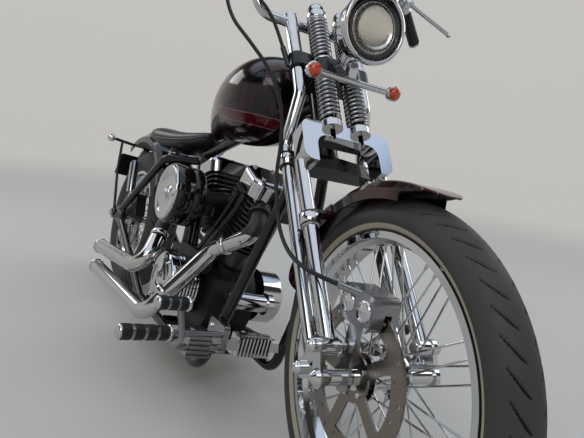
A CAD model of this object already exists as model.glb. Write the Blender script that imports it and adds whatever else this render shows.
import math

import bpy
import numpy as np
from mathutils import Matrix, Vector


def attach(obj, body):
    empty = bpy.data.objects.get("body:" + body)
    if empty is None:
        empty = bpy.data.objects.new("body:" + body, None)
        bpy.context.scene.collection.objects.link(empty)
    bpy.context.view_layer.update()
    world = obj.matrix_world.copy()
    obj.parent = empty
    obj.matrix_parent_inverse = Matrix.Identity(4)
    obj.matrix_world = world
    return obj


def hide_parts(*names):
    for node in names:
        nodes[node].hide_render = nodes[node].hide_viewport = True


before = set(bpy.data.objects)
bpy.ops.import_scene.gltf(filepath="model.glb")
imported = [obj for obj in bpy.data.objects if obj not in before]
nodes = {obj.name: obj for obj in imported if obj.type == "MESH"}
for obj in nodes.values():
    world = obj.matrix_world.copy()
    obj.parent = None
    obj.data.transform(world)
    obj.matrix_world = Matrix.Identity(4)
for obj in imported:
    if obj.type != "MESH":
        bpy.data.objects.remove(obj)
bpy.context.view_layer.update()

# Camera. It stands low at the rider's front right, close to the front tyre, and rolls a little,
# as the photographer did. Place and angles come from fitting the machine to the photograph.

CAMERA_AT = Vector((1.4811, -0.7502, 0.7720))
CAMERA_YAW = math.radians(32.7)
CAMERA_PITCH = math.radians(9.2)
CAMERA_ROLL = math.radians(7.4)
LENS_MM = 31.14
SENSOR_MM = 36.0

looking = Vector((-math.cos(CAMERA_YAW) * math.cos(CAMERA_PITCH),
                  math.sin(CAMERA_YAW) * math.cos(CAMERA_PITCH), -math.sin(CAMERA_PITCH)))
level_right = looking.cross(Vector((0, 0, 1))).normalized()
level_up = level_right.cross(looking)
right = math.cos(CAMERA_ROLL) * level_right + math.sin(CAMERA_ROLL) * level_up
up = math.cos(CAMERA_ROLL) * level_up - math.sin(CAMERA_ROLL) * level_right
camera = bpy.data.objects.new("camera", bpy.data.cameras.new("camera"))
camera.data.lens = LENS_MM
camera.data.sensor_width = SENSOR_MM
camera.matrix_world = Matrix((
    (right.x, up.x, -looking.x, CAMERA_AT.x), (right.y, up.y, -looking.y, CAMERA_AT.y),
    (right.z, up.z, -looking.z, CAMERA_AT.z), (0, 0, 0, 1)))
bpy.context.scene.collection.objects.link(camera)
bpy.context.scene.camera = camera
bpy.context.scene.view_settings.view_transform = "Standard"

# Placements. The machine leans to the left on its stand and the fork is raked and turned to the right,
# so every piece is worked out in upright machine or fork millimetres and put in place by one matrix.

MM = 0.001
LEAN = math.radians(10.3)
PITCH = math.radians(-0.0509)
LIFT = 1.257 * MM
MIDDLE = (824.240 * MM, 139.947 * MM)
RAKE = math.radians(35.7)
STEER_REST = math.radians(-8.5)
WHEELBASE = 1653.0 * MM
TRAIL = 152.0 * MM
SIDES = (("left", 1), ("right", -1))
FRONT_AXLE = Vector((78.0, 0, 368.784)) * MM
REAR_AXLE = Vector((0, 0, 316.0)) * MM

machine = (Matrix.Translation((-MIDDLE[0], -MIDDLE[1], LIFT)) @ Matrix.Rotation(PITCH, 4, "Y")
           @ Matrix.Rotation(-LEAN, 4, "X"))
fork = (machine @ Matrix.Translation((WHEELBASE + TRAIL, 0, 0)) @ Matrix.Rotation(-RAKE, 4, "Y")
        @ Matrix.Rotation(STEER_REST, 4, "Z"))
front_hub = fork @ Matrix.Translation(FRONT_AXLE)
rear_hub = machine @ Matrix.Translation(REAR_AXLE)


def shift(x, y, z):
    """Matrix that moves by this many millimetres."""
    return Matrix.Translation(Vector((x, y, z)) * MM)


def placed(points, place):
    """Points turned and moved by a 4 by 4 placement, as one array product."""
    turn = np.array(place)
    return np.asarray(points, float) @ turn[:3, :3].T + turn[:3, 3]


# Brake hose and throttle cable. Black rubber hoses that leave the right hand lever. The brake hose sags
# round the neck and down to the caliper, and the cable goes into the top tree.

CORD_ROUTES = {
    # node: its length in metres, and its route in fork millimetres
    "brake_hose": (1.048, ((101, -304, 1444), (104, -305, 1370), (96, -298, 1284), (84, -281, 1194),
                           (92, -240, 1128), (99, -190, 1042), (76, -158, 972), (34, -143, 905),
                           (-4, -145, 838), (-12, -145, 760), (-2, -147, 688), (30, -148, 628),
                           (70, -144, 584), (110, -132, 550), (146, -110, 522))),
    "throttle_cable": (0.336, ((78, -296, 1452), (76, -284, 1396), (80, -262, 1340), (90, -228, 1298),
                               (94, -196, 1270), (84, -168, 1240), (72, -148, 1206), (63, -134, 1172))),
}
CORD_R = 4.5 * MM
hoses = []
for name, (length, route) in CORD_ROUTES.items():
    route_points = placed(np.array(route, float) * MM, fork)
    run = bpy.data.curves.new(name, "CURVE")
    run.dimensions = "3D"
    run.bevel_depth = 1.0
    run.bevel_resolution = 5
    run.resolution_u = 14
    run.use_fill_caps = True
    line = run.splines.new("NURBS")
    line.points.add(len(route_points) - 1)
    for point, at in zip(line.points, route_points):
        point.co = (*at, 1)
        point.radius = CORD_R
    line.order_u = 3
    line.use_endpoint_u = True
    hose = bpy.data.objects.new(name + "_line", run)
    bpy.context.scene.collection.objects.link(hose)
    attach(hose, "steering")
    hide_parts(name)
    hoses.append(hose)

# Ground and light. A plain pale floor that fades into its backdrop, under one dome: pale round the
# horizon, a dark ring above it for the metal to mirror, and a soft sky overhead, with three weak lamps.


def new_material(name):
    """A node material, with its node tree and its Principled shader."""
    material = bpy.data.materials.new(name)
    material.use_nodes = True
    tree = material.node_tree
    return material, tree, tree.nodes["Principled BSDF"]


def add(tree, kind, settings=(), inputs=()):
    """One node with its settings and its unlinked input values, each as (name, value) pairs."""
    made = tree.nodes.new(kind)
    for name, value in settings:
        setattr(made, name, value)
    for name, value in inputs:
        made.inputs[name].default_value = value
    return made


def mesh_object(name, vertices, faces, material, smooth=True):
    """A mesh object at the origin from arrays of points and faces."""
    mesh = bpy.data.meshes.new(name)
    mesh.from_pydata(np.asarray(vertices, float).tolist(), [], np.asarray(faces).tolist())
    mesh.polygons.foreach_set("use_smooth", np.full(len(mesh.polygons), smooth))
    mesh.materials.append(material)
    mesh.update()
    piece = bpy.data.objects.new(name, mesh)
    bpy.context.scene.collection.objects.link(piece)
    return piece


BACKDROP_TONE = (0.53, 0.52, 0.50)
FLOOR_HALF = 40.0
FADE_FROM = 1.8
FADE_TO = 7.5
floor_material, tree, shader = new_material("studio_floor")
shader.inputs["Base Color"].default_value = (0.56, 0.54, 0.50, 1)
shader.inputs["Roughness"].default_value = 0.9
shader.inputs["Specular IOR Level"].default_value = 0.0
floor_corners = [(FLOOR_HALF * x, FLOOR_HALF * y, 0) for x, y in ((-1, -1), (1, -1), (1, 1), (-1, 1))]
floor = mesh_object("studio_floor", floor_corners, [(0, 1, 2, 3)], floor_material)
backdrop = add(tree, "ShaderNodeEmission", inputs=[("Color", (*BACKDROP_TONE, 1))])
away = add(tree, "ShaderNodeVectorMath", [("operation", "LENGTH")])
fade = add(tree, "ShaderNodeMapRange", [("interpolation_type", "SMOOTHSTEP")],
           [("From Min", FADE_FROM), ("From Max", FADE_TO)])
blend = add(tree, "ShaderNodeMixShader")
tree.links.new(add(tree, "ShaderNodeTexCoord").outputs["Object"], away.inputs[0])
tree.links.new(away.outputs["Value"], fade.inputs["Value"])
tree.links.new(fade.outputs["Result"], blend.inputs["Fac"])
tree.links.new(shader.outputs[0], blend.inputs[1])
tree.links.new(backdrop.outputs[0], blend.inputs[2])
tree.links.new(blend.outputs[0], tree.nodes["Material Output"].inputs["Surface"])

DOME = (
    # height as a share from nadir to zenith, colour
    (0.42, BACKDROP_TONE),
    (0.66, (0.55, 0.54, 0.525)),
    (0.72, (0.05, 0.05, 0.045)),
    (0.83, (0.04, 0.045, 0.04)),
    (0.875, (0.75, 0.92, 1.20)),
    (1.0, (1.0, 1.0, 1.0)),
)
world = bpy.data.worlds.new("studio_sky")
world.use_nodes = True
bpy.context.scene.world = world
sky = world.node_tree
sky.nodes.clear()
direction = add(sky, "ShaderNodeTexCoord")
split = add(sky, "ShaderNodeSeparateXYZ")
ramp = add(sky, "ShaderNodeValToRGB")
stops = ramp.color_ramp.elements
stops.remove(stops[1])
for spot, (height, colour) in enumerate(DOME):
    stop = stops[0] if spot == 0 else stops.new(height)
    stop.position = height
    stop.color = (*colour, 1)
halved = add(sky, "ShaderNodeMath", [("operation", "MULTIPLY_ADD")])
halved.inputs[1].default_value = 0.5
halved.inputs[2].default_value = 0.5
dome = add(sky, "ShaderNodeBackground", inputs=[("Strength", 1.0)])
out = add(sky, "ShaderNodeOutputWorld")
sky.links.new(direction.outputs["Generated"], split.inputs[0])
sky.links.new(split.outputs["Z"], halved.inputs[0])
sky.links.new(halved.outputs[0], ramp.inputs["Fac"])
sky.links.new(ramp.outputs["Color"], dome.inputs["Color"])
sky.links.new(dome.outputs[0], out.inputs["Surface"])

LAMPS = (
    # name, place, aimed at, width, height, watts
    ("lamp_front", (2.6, -2.2, 3.0), (0.3, -0.1, 0.5), 2.4, 1.6, 34),
    ("lamp_left", (0.6, 3.2, 2.6), (0.1, 0.0, 0.5), 2.6, 1.4, 24),
    ("lamp_behind", (-2.8, -1.6, 2.4), (-0.2, 0.0, 0.5), 2.0, 1.2, 22),
)
for name, place, target, width, height, watts in LAMPS:
    lamp = bpy.data.lights.new(name, "AREA")
    lamp.shape = "RECTANGLE"
    lamp.size = width
    lamp.size_y = height
    lamp.energy = watts
    lamp_object = bpy.data.objects.new(name, lamp)
    lamp_object.location = place
    lamp_object.rotation_euler = (Vector(target) - Vector(place)).to_track_quat("-Z", "Y").to_euler()
    bpy.context.scene.collection.objects.link(lamp_object)

# Chrome plating on steel: fork legs, yoke, bars, rims, pipes and covers. It is polished bright, and
# holds only faint wiping marks and a little dust in its roughness.


def new_group(name, inputs, outputs):
    """A shader node group with its sockets, as (name, socket kind, default) and (name, kind)."""
    group = bpy.data.node_groups.new(name, "ShaderNodeTree")
    for socket, kind, value in inputs:
        made = group.interface.new_socket(socket, in_out="INPUT", socket_type=kind)
        made.default_value = value
    for socket, kind in outputs:
        group.interface.new_socket(socket, in_out="OUTPUT", socket_type=kind)
    return group, group.nodes.new("NodeGroupInput"), group.nodes.new("NodeGroupOutput")


def place_group(tree, group, values):
    """The group as one node of a material, with this material's own values."""
    made = tree.nodes.new("ShaderNodeGroup")
    made.node_tree = group
    for name, value in values:
        made.inputs[name].default_value = value
    return made


grain_group, given, result = new_group(
    "surface_grain",
    [("Scale", "NodeSocketFloat", 60.0), ("Smooth", "NodeSocketFloat", 0.1),
     ("Rough", "NodeSocketFloat", 0.2)],
    [("Roughness", "NodeSocketFloat"), ("Height", "NodeSocketFloat")])
where = add(grain_group, "ShaderNodeTexCoord")
patches = add(grain_group, "ShaderNodeTexNoise", inputs=[("Scale", 9.0), ("Detail", 4.0), ("Roughness", 0.6)])
grains = add(grain_group, "ShaderNodeTexNoise", inputs=[("Detail", 3.0), ("Roughness", 0.55)])
both = add(grain_group, "ShaderNodeMath", [("operation", "MULTIPLY_ADD")])
both.inputs[1].default_value = 0.35
spread = add(grain_group, "ShaderNodeMapRange", inputs=[("From Min", 0.45), ("From Max", 0.85)])
grain_group.links.new(where.outputs["Object"], patches.inputs["Vector"])
grain_group.links.new(where.outputs["Object"], grains.inputs["Vector"])
grain_group.links.new(given.outputs["Scale"], grains.inputs["Scale"])
grain_group.links.new(grains.outputs["Fac"], both.inputs[0])
grain_group.links.new(patches.outputs["Fac"], both.inputs[2])
grain_group.links.new(both.outputs[0], spread.inputs["Value"])
grain_group.links.new(given.outputs["Smooth"], spread.inputs["To Min"])
grain_group.links.new(given.outputs["Rough"], spread.inputs["To Max"])
grain_group.links.new(spread.outputs["Result"], result.inputs["Roughness"])
grain_group.links.new(grains.outputs["Fac"], result.inputs["Height"])


def grained(tree, shader, scale, smooth, rough, relief):
    """Puts the grain's roughness on a shader, and its height as a bump of that depth in metres."""
    grain = place_group(tree, grain_group, [("Scale", scale), ("Smooth", smooth), ("Rough", rough)])
    tree.links.new(grain.outputs["Roughness"], shader.inputs["Roughness"])
    if relief > 0:
        bump = add(tree, "ShaderNodeBump", inputs=[("Strength", 0.6), ("Distance", relief)])
        tree.links.new(grain.outputs["Height"], bump.inputs["Height"])
        tree.links.new(bump.outputs["Normal"], shader.inputs["Normal"])
    return grain


def finish(name, colour, metal, scale, smooth, rough, relief=0.0, coat=0.0, specular=0.5):
    """A grained finish of one colour."""
    material, tree, shader = new_material(name)
    shader.inputs["Base Color"].default_value = (*colour, 1)
    shader.inputs["Metallic"].default_value = metal
    shader.inputs["Specular IOR Level"].default_value = specular
    shader.inputs["Coat Weight"].default_value = coat
    shader.inputs["Coat Roughness"].default_value = 0.04
    grained(tree, shader, scale, smooth, rough, relief)
    return material


def dress(material, *names):
    """Gives CAD nodes this material in place of their plain one."""
    for name in names:
        mesh = nodes[name].data
        mesh.materials.clear()
        mesh.materials.append(material)


def in_place(tree, place, name):
    """The surface point in a placed frame's own axes, in metres, from Object coordinates."""
    coordinates = add(tree, "ShaderNodeTexCoord")
    mapping = add(tree, "ShaderNodeMapping", [("vector_type", "TEXTURE"), ("label", name)],
                  [("Location", place.to_translation()), ("Rotation", place.to_euler("XYZ"))])
    tree.links.new(coordinates.outputs["Object"], mapping.inputs["Vector"])
    return mapping.outputs["Vector"]


def step(tree, operation, first, second, third=0.0):
    """One Math node on linked outputs or plain numbers."""
    made = add(tree, "ShaderNodeMath", [("operation", operation)])
    for socket, value in zip(made.inputs, (first, second, third)):
        if isinstance(value, (int, float)):
            socket.default_value = value
        else:
            tree.links.new(value, socket)
    return made.outputs[0]


chrome = finish("chrome_plate", (0.56, 0.565, 0.575), 1.0, 40.0, 0.03, 0.09)
dress(chrome, "rigid_fork_legs", "sprung_fork", "fork_rockers", "front_axle", "handlebar",
      "handlebar_risers", "hand_levers", "headlight_shell", "front_signals", "front_rim", "rear_rim",
      "front_hub_spokes", "rear_hub_spokes", "rocker_boxes", "primary_cover", "rear_axle", "rear_struts",
      "cam_cover", "oil_filter", "voltage_regulator", "rear_lamps")

# Frame, top tree, brackets and rear mudguard. Steel tube and plate under black enamel with a clear
# gloss, which mirrors the dome as a soft line along each tube.

black_enamel = finish("black_enamel", (0.006, 0.006, 0.0065), 0.0, 30.0, 0.10, 0.22,
                      coat=0.25, specular=0.3)
dress(black_enamel, "frame_backbone", "frame_cradle_left", "frame_cradle_right", "frame_rear",
      "triple_trees", "rear_fender", "oil_tank", "seat_mount", "stand_bracket", "side_stand",
      "plate_bracket")

# Engine castings. A black wrinkle coating over cast alloy, dull and with a coarse grain. The fins of
# the cylinders are smoother and catch more light along their edges.

wrinkle_black = finish("wrinkle_black", (0.008, 0.008, 0.0085), 0.0, 420.0, 0.32, 0.55,
                       relief=0.0004, specular=0.3)
dress(wrinkle_black, "crankcase", "gearbox", "intake", "rear_brake")
fin_black = finish("fin_black", (0.014, 0.014, 0.015), 0.0, 420.0, 0.24, 0.42,
                   relief=0.0002, specular=0.7)
dress(fin_black, "cylinders")

# Foot controls, caliper and discs. Bare alloy with a soft polish on the foot controls and the caliper,
# and brushed steel, browned a little, on the brake discs and the rear pulley.

polished_alloy = finish("polished_alloy", (0.30, 0.30, 0.31), 1.0, 120.0, 0.14, 0.28, relief=0.0001)
dress(polished_alloy, "foot_controls_left", "foot_controls_right", "front_caliper")
disc_steel = finish("disc_steel", (0.24, 0.21, 0.18), 1.0, 200.0, 0.20, 0.34, relief=0.0001)
dress(disc_steel, "front_rotor", "rear_rotor", "rear_pulley")

# Rubber. The drive belt, the hoses, ribbed sleeves on the grips with chrome end rings, and the ribbed
# sleeves of the foot pegs and pedals with their chrome washers.

grip_rubber = finish("grip_rubber", (0.010, 0.010, 0.010), 0.0, 300.0, 0.4, 0.65,
                     relief=0.0003, specular=0.35)
dress(grip_rubber, "drive_belt")
for hose in hoses:
    hose.data.materials.append(grip_rubber)


def grid_faces(rows, columns, wrap_rows=False, wrap_columns=False):
    """Quads of a grid whose points are stored row by row, joined round where it wraps."""
    row = np.arange(rows if wrap_rows else rows - 1)[:, None]
    column = np.arange(columns if wrap_columns else columns - 1)[None, :]
    next_row, next_column = (row + 1) % rows, (column + 1) % columns
    corners = (row * columns + column, row * columns + next_column,
               next_row * columns + next_column, next_row * columns + column)
    return np.stack([np.broadcast_to(c, (row.size, column.size)).ravel() for c in corners], axis=1)


def turned(outline, steps):
    """Solid of revolution about Z from (radius, height) points, as a grid of points."""
    outline = np.asarray(outline, float)
    turn = np.linspace(0, 2 * math.pi, steps, endpoint=False)[:, None]
    return np.stack([outline[None, :, 0] * np.cos(turn), outline[None, :, 0] * np.sin(turn),
                     outline[None, :, 1] * np.ones_like(turn)], axis=2).reshape(-1, 3)


def turned_piece(name, outline, steps, place, material, smooth=True):
    """Turned mesh with its faces outwards: the outline runs from the top down to the bottom."""
    faces = grid_faces(steps, len(outline), wrap_rows=True)
    return mesh_object(name, placed(turned(outline, steps) * MM, place), faces, material, smooth)


def along(place, start, end):
    """Placement at the start point, in millimetres, whose Z axis looks to the end point."""
    way = Vector(end) - Vector(start)
    return place @ shift(*start) @ way.to_track_quat("Z", "Y").to_matrix().to_4x4()


def ribbed(length, radius, ribs, depth, sharp=6):
    """Outline of a sleeve whose radius dips between its ribs by a cosine to an even power."""
    height = np.linspace(length, 0, ribs * 16 + 1)
    dip = depth * np.cos(math.pi * ribs * height / length) ** sharp
    return [(0, length), *zip(radius - dip, height), (0, 0)]


GRIP_ENDS = ((122, 254, 1497), (5, 400, 1446))
SLEEVE_R = 18.0
END_RING = [(0, 9), (6, 9), (14, 7.6), (18, 4), (18.6, 1), (18.6, -2), (17, -3)]
FOOT_RUBBERS = (
    # name, start and end on the left side, radius, ribs
    ("peg", (1266.6, 284, 254), (1279.6, 399, 254), 17.9, 4),
    ("pedal", (1352, 297, 352), (1362, 365, 352), 14.9, 3),
)
for hand, side in SIDES:
    inner, outer = (Vector((x, side * y, z)) for x, y, z in GRIP_ENDS)
    way = (outer - inner).normalized()
    sleeve = turned_piece(f"grip_{hand}", ribbed(116, SLEEVE_R, 17, 1.6), 40,
                          along(fork, outer - way * 114, outer), grip_rubber)
    end_ring = turned_piece(f"grip_end_{hand}", END_RING, 40, along(fork, outer + way, outer + way * 5),
                            chrome)
    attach(sleeve, "steering")
    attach(end_ring, "steering")
    if hand == "left":
        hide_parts("grips")
    for name, start, end, radius, ribs in FOOT_RUBBERS:
        start, end = (Vector((x, side * y, z)) for x, y, z in (start, end))
        place = along(machine, start, end)
        long = (end - start).length
        washer_outline = [(0, long + 5), (6, long + 5), (radius - 5, long + 3.5), (radius - 1, long + 0.5),
                          (radius - 1, long - 2)]
        collar_outline = [(radius - 6, 1), (radius + 0.8, 0.5), (radius + 0.8, -5), (radius - 4, -7),
                          (6, -8)]
        for part, outline, material in (("rubber", ribbed(long, radius, ribs, 4.0, 28), grip_rubber),
                                        ("end", washer_outline, chrome),
                                        ("collar", collar_outline, chrome)):
            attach(turned_piece(f"{name}_{part}_{hand}", outline, 36, place, material), "frame")

# Tyres. Black treaded rubber moulded round the rim. Curved grooves run from beside the middle line
# over each shoulder, and the front tyre has a cream band next to the rim.

TREAD_DROP = 0.62
TREAD_HALF = 0.86
SHOULDER = 38
GROOVE_SWEEP = 60.0
GROOVE_MIDDLE = 0.57
GROOVE_REACH = 0.32
GROOVE_HALF = 4.4
GROOVE_WALL = 1.6
GROOVE_DEEP = 5.5
DARK_HALF = 3.8


def tyre_section(radius, crown, half_width, flange, foot_half, count):
    """Points across a tyre as (radius, width): side arc, round tread arc, and the other side arc.

    A side arc passes through the shoulder, the widest point and the rim's edge. The tread is an arc of
    the crown radius about a point that far below its top, out to the shoulder's angle on each side.
    """
    lean = math.radians(SHOULDER)
    shoulder = np.array([radius - crown + crown * math.cos(lean), crown * math.sin(lean)])
    edge = np.array([flange, foot_half])
    belly = np.array([(shoulder[0] + edge[0]) / 2, half_width])
    share = np.linspace(0, 1, count // 3)
    side = ((1 - share) * (1 - 2 * share))[:, None] * edge + (4 * share * (1 - share))[:, None] * belly \
        + (share * (2 * share - 1))[:, None] * shoulder
    angle = np.radians(np.linspace(SHOULDER, -SHOULDER, count - 2 * len(side) + 2))[1:-1]
    tread = np.stack([radius - crown + crown * np.cos(angle), crown * np.sin(angle)], axis=1)
    return np.concatenate([side, tread, (side * (1, -1))[::-1]])


def groove_depth(around, across, radius, crown, pitch):
    """Depth share of the tread's grooves: each is a curve that sweeps forward as it leaves the middle.

    A point is in a groove when its distance round the tyre from the nearest copy of the curve is
    under half the groove's width. The width follows a half circle from one end of the groove to the
    other, and left and right grooves are staggered by half a pitch.
    """
    out = np.abs(across) / (TREAD_HALF * crown)
    sweep = GROOVE_SWEEP * out ** 2 + np.where(across > 0, pitch / 2, 0)
    off = (around * radius - sweep + pitch / 2) % pitch - pitch / 2
    wide = GROOVE_HALF * np.sqrt(np.clip(1 - ((out - GROOVE_MIDDLE) / GROOVE_REACH) ** 2, 0, 1))
    return np.clip((wide - np.abs(off)) / GROOVE_WALL, 0, 1)


def treaded(name, place, radius, crown, pitch):
    """Rubber that is darker in the grooves: the same curves as groove_depth, worked out at each point."""
    material, tree, shader = new_material(name)
    shader.inputs["Specular IOR Level"].default_value = 0.35
    axes = add(tree, "ShaderNodeSeparateXYZ")
    tree.links.new(in_place(tree, place, name), axes.inputs[0])
    x, y, z = (step(tree, "MULTIPLY", axes.outputs[axis], 1000.0) for axis in "XYZ")
    out = step(tree, "DIVIDE", step(tree, "ABSOLUTE", y, 0.0), TREAD_HALF * crown)
    stagger = step(tree, "MULTIPLY", step(tree, "GREATER_THAN", y, 0.0), pitch / 2)
    sweep = step(tree, "MULTIPLY_ADD", step(tree, "POWER", out, 2.0), GROOVE_SWEEP, stagger)
    run = step(tree, "MULTIPLY", step(tree, "ARCTAN2", z, x), radius)
    wrapped = step(tree, "WRAP", step(tree, "SUBTRACT", run, sweep), pitch / 2, -pitch / 2)
    off = step(tree, "ABSOLUTE", wrapped, 0.0)
    from_middle = step(tree, "MULTIPLY_ADD", out, 1 / GROOVE_REACH, -GROOVE_MIDDLE / GROOVE_REACH)
    rest = step(tree, "SUBTRACT", 1.0, step(tree, "POWER", from_middle, 2.0))
    wide = step(tree, "SQRT", step(tree, "MAXIMUM", rest, 0.0), 0.0)
    squares = step(tree, "ADD", step(tree, "POWER", x, 2.0), step(tree, "POWER", z, 2.0))
    on_tread = step(tree, "GREATER_THAN", step(tree, "SQRT", squares, 0.0), radius - TREAD_DROP * crown)
    in_groove = step(tree, "LESS_THAN", off, step(tree, "MULTIPLY", wide, DARK_HALF))
    tone = add(tree, "ShaderNodeMix", [("data_type", "RGBA")])
    tone.inputs["A"].default_value = (0.042, 0.040, 0.038, 1)
    tone.inputs["B"].default_value = (0.0015, 0.0015, 0.0015, 1)
    tree.links.new(step(tree, "MULTIPLY", in_groove, on_tread), tone.inputs["Factor"])
    tree.links.new(tone.outputs["Result"], shader.inputs["Base Color"])
    grained(tree, shader, 240.0, 0.5, 0.8, 0.0004)
    return material


def tyre(name, place, sizes, steps, pitch, band, materials):
    """Tyre mesh: its section turned round the axle, with the grooves cut into the tread.

    A tread point is drawn in by the depth share times the full depth. The faces between the band's
    two radii take the second material.
    """
    radius, crown = sizes[:2]
    section = tyre_section(*sizes, 76)
    around = np.linspace(0, 2 * math.pi, steps, endpoint=False)[:, None]
    across = section[None, :, 1] * np.ones_like(around)
    on_tread = np.clip((section[None, :, 0] - (radius - TREAD_DROP * crown)) / 6, 0, 1)
    reach = section[None, :, 0] - GROOVE_DEEP * on_tread * groove_depth(around, across, radius, crown, pitch)
    points = np.stack([reach * np.cos(around), across, reach * np.sin(around)], axis=2).reshape(-1, 3)
    piece = mesh_object(name, placed(points * MM, place), grid_faces(steps, len(section), wrap_rows=True),
                        materials[0])
    piece.data.materials.append(materials[1])
    middle = (section[:-1, 0] + section[1:, 0]) / 2
    banded = np.broadcast_to((middle > band[0]) & (middle < band[1]), (steps, len(middle)))
    piece.data.polygons.foreach_set("material_index", banded.astype(np.int32).ravel())
    return piece


cream_band = finish("cream_band", (0.36, 0.32, 0.25), 0.0, 90.0, 0.55, 0.8, relief=0.0002)
TYRES = (
    # wheel, hub, (radius, crown, half width, rim edge, foot half width), steps, grooves, band
    ("front", front_hub, (345.0, 46.0, 45.0, 277.5, 31.8), 1280, 48, (283.0, 292.0)),
    ("rear", rear_hub, (316.0, 78.0, 66.0, 214.5, 47.8), 1100, 38, (0.0, 0.0)),
)
for wheel, hub, sizes, steps, grooves, band in TYRES:
    pitch = 2 * math.pi * sizes[0] / grooves
    rubber = treaded(wheel + "_rubber", hub, *sizes[:2], pitch)
    tread = tyre(wheel + "_tread", hub, sizes, steps, pitch, band, (rubber, cream_band))
    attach(tread, wheel + "_wheel")
    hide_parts(wheel + "_tyre")

# Exhaust pipes. Bright chrome shields up to an edge, dull black header pipe above it, a chrome clamp
# ring over the edge and rolled lips at the open tips.


def header_pipe(name, edge):
    """Chrome where the upright height is under the edge, dull black where it is over it."""
    material, tree, shader = new_material(name)
    axes = add(tree, "ShaderNodeSeparateXYZ")
    tree.links.new(in_place(tree, machine, name), axes.inputs[0])
    plated = step(tree, "LESS_THAN", axes.outputs["Z"], edge)
    tone = add(tree, "ShaderNodeMix", [("data_type", "RGBA")])
    tone.inputs["A"].default_value = (0.012, 0.012, 0.012, 1)
    tone.inputs["B"].default_value = (0.56, 0.555, 0.55, 1)
    grain = place_group(tree, grain_group, [("Scale", 40.0), ("Smooth", 0.03), ("Rough", 0.10)])
    dull = step(tree, "MULTIPLY_ADD", plated, -0.45, 0.45)
    tree.links.new(plated, tone.inputs["Factor"])
    tree.links.new(tone.outputs["Result"], shader.inputs["Base Color"])
    tree.links.new(plated, shader.inputs["Metallic"])
    tree.links.new(step(tree, "ADD", dull, grain.outputs["Roughness"]), shader.inputs["Roughness"])
    return material


dress(header_pipe("front_header", 0.492), "exhaust_front")
dress(header_pipe("rear_header", 0.395), "exhaust_rear")
LIP = [(21.6, 2), (23.2, 3), (25.2, 2), (25.8, 0), (25.2, -2.4), (23.6, -3)]
CLAMP = [(23.4, 9), (26.4, 8), (27.6, 4), (27.6, -4), (26.4, -8), (23.4, -9)]
PIPE_RINGS = (
    # name, outline, place on the pipe, point that it looks to
    ("front_tip_lip", LIP, (552, -290, 202), (400, -303.5, 202)),
    ("rear_tip_lip", LIP, (540, -290, 270), (400, -308.6, 260.7)),
    ("front_clamp", CLAMP, (1070, -104.7, 440.2), (1040, -122, 416)),
    ("rear_clamp", CLAMP, (803.7, -195.2, 390.3), (778, -182, 416)),
    ("front_shield_end", CLAMP, (1012, -216.5, 272), (1040, -122, 416)),
)
for name, outline, at, towards in PIPE_RINGS:
    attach(turned_piece(name, outline, 48, along(machine, at, towards), chrome), "frame")

# Air cleaner and timing cover, on the right side. A deep black drum with a dished chrome face held by
# one domed nut, and a chrome cover with three slots on the end of a ribbed barrel.


def to_right(x, y, z):
    """Placement on the upright machine, in millimetres, whose Z axis looks out to the right."""
    return machine @ shift(x, y, z) @ Matrix.Rotation(math.pi / 2, 4, "X")


gloss_black = finish("gloss_black", (0.004, 0.004, 0.0045), 0.0, 60.0, 0.08, 0.16, coat=0.4, specular=0.3)
dress(gloss_black, "pushrod_tubes")
CLEANER = to_right(885, 0, 533)
DRUM = [(76, 236), (81, 236), (86, 233), (88, 228), (88, 190), (86.5, 188), (86.5, 184), (88, 182),
        (88, 158), (86, 152), (80, 148.5), (0, 148.5)]
FACE = [(0, 247), (5, 246.6), (9, 244), (10, 240), (10.5, 233), (30, 230.5), (52, 232), (66, 237),
        (73, 241.5), (77.5, 242), (80, 240), (80, 235)]
TIMING = to_right(865, 0, 268)
DISC = [(0, 194), (12, 193.4), (24, 191.5), (30, 189), (32, 186), (60, 185.5), (64, 184), (66, 181),
        (80, 180), (86, 177), (88, 173), (88, 152.4)]
RIBS = [(60, 151.9)] + [(88 - 5.5 * (k % 2), 151.5 - 5 * k + 2.2 * j) for k in range(14) for j in (0, -1)]
cleaner_drum = turned_piece("air_cleaner_drum", DRUM, 96, CLEANER, gloss_black)
cleaner_face = turned_piece("air_cleaner_face", FACE, 96, CLEANER, chrome)
timing_disc = turned_piece("timing_cover_face", DISC, 96, TIMING, chrome)
timing_ribs = turned_piece("timing_ribs", RIBS, 96, TIMING, chrome)
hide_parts("air_cleaner")
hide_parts("cam_cover")
for piece in (cleaner_drum, cleaner_face, timing_disc, timing_ribs):
    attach(piece, "frame")

SLOT_STEPS = 22
SLOT_EDGES = ((56, 186.4), (42, 186.9))
for k in range(3):
    sweep = math.radians(120 * k + 14) + np.linspace(0, 1, SLOT_STEPS) * math.radians(64)
    edges = [np.stack([radius * np.cos(sweep), radius * np.sin(sweep), height * np.ones_like(sweep)], axis=1)
             for radius, height in SLOT_EDGES]
    band = np.stack(edges, axis=1)
    slot_piece = mesh_object(f"timing_slot_{k}", placed(band.reshape(-1, 3) * MM, TIMING),
                             grid_faces(SLOT_STEPS, 2)[:, ::-1], gloss_black)
    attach(slot_piece, "frame")

# Fasteners. Hexagon heads and domed nuts on the engine's covers, the brake disc, the rocker pins, the
# stem, the risers and the foot brackets. Each group is one mesh.


def fasteners(name, places, outline, steps, body, smooth=False):
    """Copies of one small turned outline, one at each placement, joined in one mesh."""
    one = turned(outline, steps) * MM
    quads = grid_faces(steps, len(outline), wrap_rows=True)
    points = np.concatenate([placed(one, place) for place in places])
    faces = np.concatenate([quads + k * len(one) for k in range(len(places))])
    piece = mesh_object(name, points, faces, chrome, smooth)
    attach(piece, body)
    return piece


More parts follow.
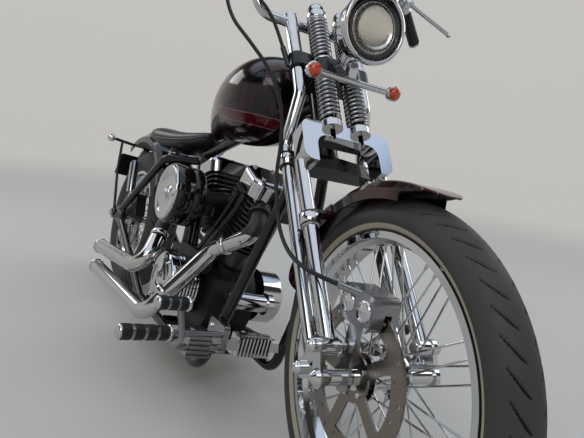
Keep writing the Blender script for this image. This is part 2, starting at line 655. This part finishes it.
def ring_of(place, radius, count, start=0.0):
    """Placements round a placement's Z axis, the first one at the start angle in degrees."""
    return [place @ Matrix.Rotation(math.radians(start) + 2 * math.pi * k / count, 4, "Z")
            @ Matrix.Translation((radius * MM, 0, 0)) for k in range(count)]


def to_left(x, y, z):
    """Placement on the upright machine, in millimetres, whose Z axis looks out to the left."""
    return machine @ shift(x, y, z) @ Matrix.Rotation(-math.pi / 2, 4, "X")


HEX = [(0, 5), (4.6, 5), (5.6, 4), (5.6, 0)]
DOME_NUT = [(0, 13), (4.5, 12.4), (8, 10.2), (10, 7), (10.6, 5), (12.6, 4.6), (12.6, 0)]
STEM_NUT = [(0, 17), (9, 16), (14, 13), (15, 10), (22, 9), (22, 0)]
RISER_CAP = [(0, 5), (8, 4.4), (15, 2.4), (18.4, -1), (18.8, -8), (18.2, -9)]
CYLINDER_LEAN = math.radians(22.5)
rocker_bolts = [machine @ shift(895, 0, 250) @ Matrix.Rotation(side * CYLINDER_LEAN, 4, "Y")
                @ shift(x, y, 442) for _, side in SIDES for x in (-36, 36) for y in (-58, 0, 58)]
primary_bolts = (ring_of(to_left(932, 178, 278), 62, 6, 30) + ring_of(to_left(655, 178, 268), 63, 5, 180)
                 + ring_of(to_left(655, 186, 268), 48, 5))
bracket_bolts = [outward(x, side * 140, z) for side, outward in ((1, to_left), (-1, to_right))
                 for x, z in ((1190, 256), (1190, 226), (1246, 256))]
disc_face = front_hub @ shift(0, -59.5, 0) @ Matrix.Rotation(math.pi / 2, 4, "X")
pins = [fork @ shift(x, side * 146, z) @ Matrix.Rotation(-side * math.pi / 2, 4, "X")
        for _, side in SIDES for x, z in ((27, 396), (88, 424))]
riser_tops = [fork @ shift(50, side * 95, 1305.6) for _, side in SIDES]
fasteners("rocker_bolts", rocker_bolts, HEX, 6, "frame")
fasteners("primary_bolts", primary_bolts, HEX, 6, "frame")
fasteners("timing_bolts", ring_of(TIMING @ shift(0, 0, 180), 74, 5, 18), HEX, 6, "frame")
fasteners("gearbox_bolts", ring_of(to_right(655, -112, 268), 49, 6), HEX, 6, "frame")
fasteners("bracket_bolts", bracket_bolts, HEX, 6, "frame")
fasteners("rotor_bolts", ring_of(disc_face, 36, 5), HEX, 6, "front_wheel")
fasteners("rocker_pin_nuts", pins, DOME_NUT, 32, "steering", smooth=True)
fasteners("stem_nut", [fork @ shift(0, 0, 1156)], STEM_NUT, 24, "steering", smooth=True)
fasteners("riser_caps", riser_tops, RISER_CAP, 40, "steering", smooth=True)

# Wheel and fork fittings. Spoke nipples at both rims, collars where the fork legs are clamped, and
# the front caliper's piston caps and bolts.

NIPPLE = [(0, 15), (2.4, 14.6), (3.3, 12), (3.6, 0)]
COLLAR = [(15.6, 17), (19, 17), (20.6, 15), (20.6, 12), (22.4, 10), (22.4, -10), (20.6, -12), (20.6, -15),
          (19, -17), (15.6, -17)]
PISTON_CAP = [(0, 7), (9, 7), (11, 5), (17, 5), (20, 3), (21, 0)]
SPOKES_A_SIDE = 20
SPOKE_ROOT_R = 41
SPOKE_LEAN = 24.0
for wheel, hub, root_at, tip_r in (("front", front_hub, 39.0, 253.1), ("rear", rear_hub, 43.0, 190.1)):
    ends = []
    for k in range(SPOKES_A_SIDE):
        turned_by = SPOKE_LEAN if k % 2 == 0 else -SPOKE_LEAN
        for side, offset in ((1, 0.0), (-1, 9.0)):
            near, far = (math.radians(360 / SPOKES_A_SIDE * k + offset + more) for more in (0.0, turned_by))
            root = (SPOKE_ROOT_R * math.cos(near), side * root_at, SPOKE_ROOT_R * math.sin(near))
            tip = (tip_r * math.cos(far), side * 4.0, tip_r * math.sin(far))
            ends.append(along(hub, tip, root))
    fasteners(wheel + "_nipples", ends, NIPPLE, 8, wheel + "_wheel", smooth=True)
collars = [along(fork, (x, side * 111, z), (x + lean, side * 111, z + 100))
           for _, side in SIDES for x, z, lean in ((68.2, 690, -7.5), (-5.0, 880, -6.6))]
fasteners("leg_collars", collars, COLLAR, 48, "steering", smooth=True)
caliper_face = fork @ shift(163, -92, 477.5) @ Matrix.Rotation(math.pi / 2, 4, "X")
piston_caps = [caliper_face @ shift(side * 21, side * -16, 0) for _, side in SIDES]
fasteners("caliper_caps", piston_caps, PISTON_CAP, 40, "steering", smooth=True)
caliper_bolts = [caliper_face @ shift(u * 36 + v * 17, u * -28 + v * 22, 0) for u in (1, -1) for v in (1, -1)]
fasteners("caliper_bolts", caliper_bolts, HEX, 6, "steering")

# Fork springs. Two pairs of chrome wire coils, one pair above the yoke and one above the top tree,
# each between turned cups on a dark guide rod, with a domed nut on top.


def carried(path, radius, sides, axis):
    """Tube: a circle of that radius carried along a path, kept square to it by cross products."""
    run = np.gradient(path, axis=0)
    run /= np.linalg.norm(run, axis=1, keepdims=True)
    out = np.cross(run, axis)
    out /= np.linalg.norm(out, axis=1, keepdims=True)
    over = np.cross(run, out)
    turn = np.linspace(0, 2 * math.pi, sides, endpoint=False)
    ring = np.cos(turn)[None, :, None] * out[:, None, :] + np.sin(turn)[None, :, None] * over[:, None, :]
    return (path[:, None, :] + np.reshape(radius, (-1, 1, 1)) * ring).reshape(-1, 3)


SPRING_R = 27.0
SPRING_WIRE = 4.4
STACK_AHEAD = 90.0
STACK_HALF = 39.0
SPRINGS = (
    # name, low, high, turns
    ("lower_spring", 947.0, 1070.0, 10),
    ("upper_spring", 1136.0, 1268.0, 11),
)
GUIDE_ROD = [(0, 1300), (9.5, 1300), (9.5, 935), (0, 935)]
SPRING_NUT = [(0, 1327), (8, 1326.6), (15, 1323), (20, 1317), (22.5, 1309), (22.5, 1296), (25.5, 1294),
              (26.5, 1290), (26.5, 1272), (24, 1268), (0, 1268)]
CUPS = ((940.2, 947.0), (1070.0, 1077.8), (1126.2, 1136.0))
guide_steel = finish("guide_steel", (0.02, 0.02, 0.022), 0.9, 90.0, 0.25, 0.4)
spring_steel = finish("spring_steel", (0.34, 0.34, 0.35), 1.0, 90.0, 0.08, 0.16)
spring_pieces = []
for (hand, side), tag in zip(SIDES, ("1", "m1")):
    stack = fork @ shift(STACK_AHEAD, side * STACK_HALF, 0)
    for name, low, high, turns in SPRINGS:
        share = np.linspace(0, 1, turns * 26)
        rise = np.clip((share - 0.04) / 0.92, 0, 1)
        wind = 2 * math.pi * turns * share
        path = np.stack([(SPRING_R - SPRING_WIRE) * np.cos(wind), (SPRING_R - SPRING_WIRE) * np.sin(wind),
                         low + SPRING_WIRE + (high - low - 2 * SPRING_WIRE) * rise], axis=1)
        wire = carried(path, SPRING_WIRE, 10, (0, 0, 1))
        spring_pieces.append(mesh_object(f"{name}_{hand}", placed(wire * MM, stack),
                                         grid_faces(len(path), 10, wrap_columns=True), spring_steel))
    spring_pieces.append(turned_piece("guide_rod_" + tag, GUIDE_ROD, 20, stack, guide_steel))
    spring_pieces.append(turned_piece("spring_nut_" + tag, SPRING_NUT, 40, stack, chrome))
    for foot, top in CUPS:
        cup = [(0, top), (20, top), (24, top - 1.5), (26, top - 4), (26, foot + 2), (24.5, foot), (0, foot)]
        spring_pieces.append(turned_piece(f"cup_{round(foot)}_{tag}", cup, 40, stack, chrome))
for piece in spring_pieces:
    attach(piece, "steering")
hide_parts("fork_springs")

# Slotted plate. A flat chrome tab with rounded corners that stands on the lamp bar between the springs,
# with one upright slot near its top.

PLATE_STEPS = 40
PLATE_MIDDLE = (164.0, -8.0, 1051.5)
PLATE_UP = Vector((0.584, 0, 0.812))
PLATE_OUT = Vector((0.812, 0, -0.584))
PLATE_HALF_THICK = 2


def plate_ring(half_across, half_along, along_at, squareness, out):
    """Closed ring on the plate: an oval whose cosine and sine are raised to a power, squarer if small."""
    turn = np.linspace(0, 2 * math.pi, PLATE_STEPS, endpoint=False)
    wide, high = (np.sign(wave) * np.abs(wave) ** squareness for wave in (np.cos(turn), np.sin(turn)))
    return (np.array(PLATE_MIDDLE) + half_across * wide[:, None] * np.array((0, 1, 0))
            + (along_at + half_along * high)[:, None] * np.array(PLATE_UP) + out * np.array(PLATE_OUT))


plate_points = np.concatenate([plate_ring(3, 6, 10, 1.0, PLATE_HALF_THICK),
                               plate_ring(11, 20, 1, 0.5, PLATE_HALF_THICK),
                               plate_ring(11, 20, 1, 0.5, -PLATE_HALF_THICK),
                               plate_ring(3, 6, 10, 1.0, -PLATE_HALF_THICK)])
slotted_plate = mesh_object("slotted_plate", placed(plate_points * MM, fork),
                            grid_faces(4, PLATE_STEPS, True, True)[:, ::-1], chrome, smooth=False)
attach(slotted_plate, "steering")

# Tank and front mudguard. Black paint under a deep gloss, with a plain maroon band between two thin
# pale lines, and faint maroon streaks that rise from it like smoke. The design is a generic one.

LINE_AT = 1.22
LINE_HALF = 0.0009


def striped_paint(name, place, measure, half, streaks):
    """Black gloss with a maroon band where the measure is under its half width.

    A thin pale line runs a little beyond each edge of the band. Streaks are noise drawn out along one
    axis and let through above a threshold, fainter than the band.
    """
    material, tree, shader = new_material(name)
    shader.inputs["Coat Weight"].default_value = 0.35
    shader.inputs["Coat Roughness"].default_value = 0.02
    shader.inputs["Specular IOR Level"].default_value = 0.3
    where = in_place(tree, place, name)
    axes = add(tree, "ShaderNodeSeparateXYZ")
    tree.links.new(where, axes.inputs[0])
    off = step(tree, "ABSOLUTE", measure(tree, axes.outputs), 0.0)
    band = step(tree, "LESS_THAN", off, half)
    line = step(tree, "COMPARE", off, half * LINE_AT, LINE_HALF)
    drawn = add(tree, "ShaderNodeMapping", inputs=[("Scale", streaks)])
    smoke = add(tree, "ShaderNodeTexNoise", inputs=[("Scale", 1.0), ("Detail", 5.0), ("Roughness", 0.62)])
    tree.links.new(where, drawn.inputs["Vector"])
    tree.links.new(drawn.outputs["Vector"], smoke.inputs["Vector"])
    risen = step(tree, "MULTIPLY_ADD", smoke.outputs["Fac"], 6.0, -2.9)
    limited = add(tree, "ShaderNodeClamp")
    tree.links.new(risen, limited.inputs["Value"])
    share = step(tree, "MAXIMUM", step(tree, "MULTIPLY", band, 0.85),
                 step(tree, "MULTIPLY", limited.outputs[0], 0.55))
    maroon = add(tree, "ShaderNodeMix", [("data_type", "RGBA")])
    maroon.inputs["A"].default_value = (0.004, 0.003, 0.0035, 1)
    maroon.inputs["B"].default_value = (0.085, 0.004, 0.008, 1)
    lined = add(tree, "ShaderNodeMix", [("data_type", "RGBA")])
    lined.inputs["B"].default_value = (0.26, 0.12, 0.12, 1)
    tree.links.new(share, maroon.inputs["Factor"])
    tree.links.new(maroon.outputs["Result"], lined.inputs["A"])
    tree.links.new(line, lined.inputs["Factor"])
    tree.links.new(lined.outputs["Result"], shader.inputs["Base Color"])
    grained(tree, shader, 40.0, 0.10, 0.18, 0.0)
    return material


def tank_measure(tree, axes):
    """Height above an arc that is lowest near the tank's front and rises towards its tail."""
    ahead = step(tree, "SUBTRACT", axes["X"], 0.98)
    arc = step(tree, "MULTIPLY", step(tree, "MULTIPLY", ahead, ahead), 0.5)
    return step(tree, "SUBTRACT", step(tree, "SUBTRACT", axes["Z"], 0.800), arc)


def fender_measure(tree, axes):
    """Distance across the mudguard from a line near its edge."""
    return step(tree, "SUBTRACT", step(tree, "ABSOLUTE", axes["Y"], 0.0), 0.036)


dress(striped_paint("tank_paint", machine, tank_measure, 0.011, (60.0, 44.0, 5.0)), "fuel_tank")
dress(striped_paint("fender_paint", front_hub, fender_measure, 0.006, (5.0, 90.0, 5.0)), "front_fender")
FILLER_CAP = [(0, 1013.4), (12, 1013), (24, 1011.6), (29, 1009), (32.6, 1004), (33, 986), (33, 978)]
filler_cap = turned_piece("filler_cap", FILLER_CAP, 48, machine @ shift(872, 46, 0), chrome)
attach(filler_cap, "frame")

# Saddle. A thick pad of smooth black leather on a steel pan, with a wide dished tail, a narrow nose up
# to the tank, and a piped seam along each edge.

SEAT_STATIONS = np.array([
    # x, middle height, half width, half thickness
    (176.0, 704.0, 92.0, 24.0),
    (240.0, 698.0, 136.0, 42.0),
    (345.0, 696.0, 132.0, 44.0),
    (450.0, 706.0, 98.0, 38.0),
    (580.0, 740.0, 42.0, 18.0),
])


def seat_surface(rows, columns):
    """Closed pad: an oval section whose size follows the stations, and that closes at both ends.

    Along the pad each size is a smooth curve through the stations. Round the section the point turns
    once; the top is dished in the middle by a share of the width squared.
    """
    share = np.linspace(0, 1, rows)
    x = SEAT_STATIONS[0, 0] + (SEAT_STATIONS[-1, 0] - SEAT_STATIONS[0, 0]) * (1 - np.cos(math.pi * share)) / 2
    knots = SEAT_STATIONS[:, 0]
    smooth = [np.polyval(np.polyfit(knots - 380, SEAT_STATIONS[:, k], 4), x - 380) for k in (1, 2, 3)]
    middle, half, thick = (values[:, None] for values in smooth)
    closing = np.sqrt(np.clip(1 - (2 * share - 1) ** 16, 0, 1))[:, None]
    turn = np.linspace(0, 2 * math.pi, columns, endpoint=False)[None, :]
    wide, high = np.cos(turn), np.sin(turn)
    y = half * closing * np.sign(wide) * np.abs(wide) ** 0.85
    dish = 7.0 * (y / 110.0) ** 2 * (half / 110.0) * np.clip(high, 0, 1)
    z = middle + thick * closing * high * 0.92 + dish
    return np.stack([x[:, None] * np.ones_like(turn), y, z], axis=2).reshape(-1, 3)


leather = finish("black_leather", (0.010, 0.010, 0.012), 0.0, 260.0, 0.24, 0.40,
                 relief=0.0005, specular=0.7)
SEAT_ROWS, SEAT_COLUMNS = 90, 72
pad_points = seat_surface(SEAT_ROWS, SEAT_COLUMNS)
saddle = mesh_object("saddle_pad", placed(pad_points * MM, machine),
                     grid_faces(SEAT_ROWS, SEAT_COLUMNS, wrap_columns=True), leather)
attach(saddle, "frame")
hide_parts("seat")
grid = pad_points.reshape(SEAT_ROWS, SEAT_COLUMNS, 3)
for hand, column in (("left", SEAT_COLUMNS - 2), ("right", SEAT_COLUMNS // 2 + 2)):
    piping = carried(grid[2:-2, column], 3.4, 10, (0, 0, 1))
    cord_edge = mesh_object(f"saddle_piping_{hand}", placed(piping * MM, machine),
                            grid_faces(SEAT_ROWS - 4, 10, wrap_columns=True), leather)
    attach(cord_edge, "frame")

# Headlight. Clear domed glass over a bright dished reflector, a black band round it and a rolled chrome
# bezel, set in the chrome shell that the fork carries.


def level_ahead(x, y, z):
    """Placement on the fork, in millimetres, whose Z axis looks level ahead."""
    return (fork @ shift(x, y, z)
            @ Matrix(((0, math.sin(RAKE), math.cos(RAKE), 0), (1, 0, 0, 0),
                      (0, math.cos(RAKE), -math.sin(RAKE), 0), (0, 0, 0, 1))))


lens_glass, tree, shader = new_material("lens_glass")
shader.inputs["Base Color"].default_value = (0.96, 0.97, 0.98, 1)
shader.inputs["Roughness"].default_value = 0.03
shader.inputs["Transmission Weight"].default_value = 1.0
shader.inputs["IOR"].default_value = 1.45
reflector_foil = finish("reflector_foil", (0.74, 0.70, 0.62), 1.0, 60.0, 0.16, 0.26)
GLASS_R = 72.4
glass_reach = np.linspace(0, GLASS_R, 40)
HEADLIGHT = (
    # name, outline, steps, material
    ("reflector", [(54, -6.0), (50, -9.0), (36, -10.6), (20, -11.0), (0, -11.2)], 64, reflector_foil),
    ("annulus", [(72.4, -2.6), (66, -7.6), (56, -8.4), (54, -6.0)], 64, gloss_black),
    ("inner_ring", [(54, -6.2), (54.4, -4.6), (56, -4.0), (57.6, -4.8), (58, -6.4)], 64, chrome),
    ("bezel", [(72.6, 2.0), (73.4, 4.6), (76.5, 6.0), (80.6, 4.6), (81.8, 0.5), (81.8, -8), (80.2, -9.5)],
     96, chrome),
    ("glass", np.stack([glass_reach, 5.6 * (1 - (glass_reach / GLASS_R) ** 2)], axis=1), 96, lens_glass),
)
for name, outline, steps, material in HEADLIGHT:
    piece = turned_piece("headlight_" + name, outline, steps, level_ahead(254, 0, 1105), material)
    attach(piece, "steering")
    if name == "glass":
        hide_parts("headlight_lens")

# Turn signals. Amber caps on the front half of the two chrome bullets ahead of the springs, each in a
# thin chrome ring.

amber = finish("amber_lens", (0.46, 0.045, 0.008), 0.0, 80.0, 0.08, 0.15, coat=0.5)
FRONT_CAP = [(0, 24.4), (6, 23.6), (11, 21.4), (14.4, 17.8), (16.4, 13.6), (17, 10.6), (15, 10)]
RIM_RING = [(16.6, 11), (18.8, 11), (19.2, 9.5), (18.8, 8), (16.6, 8)]
for hand, side in SIDES:
    bullet = level_ahead(150, side * 112, 1032)
    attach(turned_piece(f"signal_lens_{hand}", FRONT_CAP, 40, bullet, amber), "steering")
    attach(turned_piece(f"signal_ring_{hand}", RIM_RING, 40, bullet, chrome), "steering")

# Rear lamps. Amber caps on the tails of the two bullet signals, and a red domed lens on the lamp that
# sits on the mudguard.

red = finish("red_lens", (0.30, 0.006, 0.006), 0.0, 80.0, 0.06, 0.12, coat=0.5)
REAR_CAP = [(0, 25), (7, 24), (12.4, 20.6), (16, 15), (17.8, 9.5), (16, 8.5)]
TAIL_LENS = [(0, 6), (10, 5.6), (20, 3.8), (26, 1), (27, -1.5), (26, -2)]
for hand, side in SIDES:
    tail = along(machine, (-191.6, side * 181.2, 634.9), (-300, side * 181.2, 634.9))
    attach(turned_piece(f"rear_lens_{hand}", REAR_CAP, 40, tail, amber), "frame")
lamp_end = along(machine, (-163.0, 0, 700.0), (-163.0 - 39.07, 0, 700.0 + 92.05))
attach(turned_piece("tail_lens", TAIL_LENS, 48, lamp_end, red), "frame")

# Saddle springs. Two chrome coils of five turns, one round each of the posts under the saddle's wide
# end.

COIL_TURNS = 5
COIL_R = 23.4
for hand, side in SIDES:
    wind = np.linspace(0, 2 * math.pi * COIL_TURNS, 150)
    path = np.stack([372 + COIL_R * np.cos(wind), side * 64 + COIL_R * np.sin(wind),
                     604 + 44 * wind / wind[-1]], axis=1)
    coil = mesh_object(f"saddle_spring_{hand}", placed(carried(path, 3.2, 10, (0, 0, 1)) * MM, machine),
                       grid_faces(len(path), 10, wrap_columns=True), chrome)
    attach(coil, "frame")
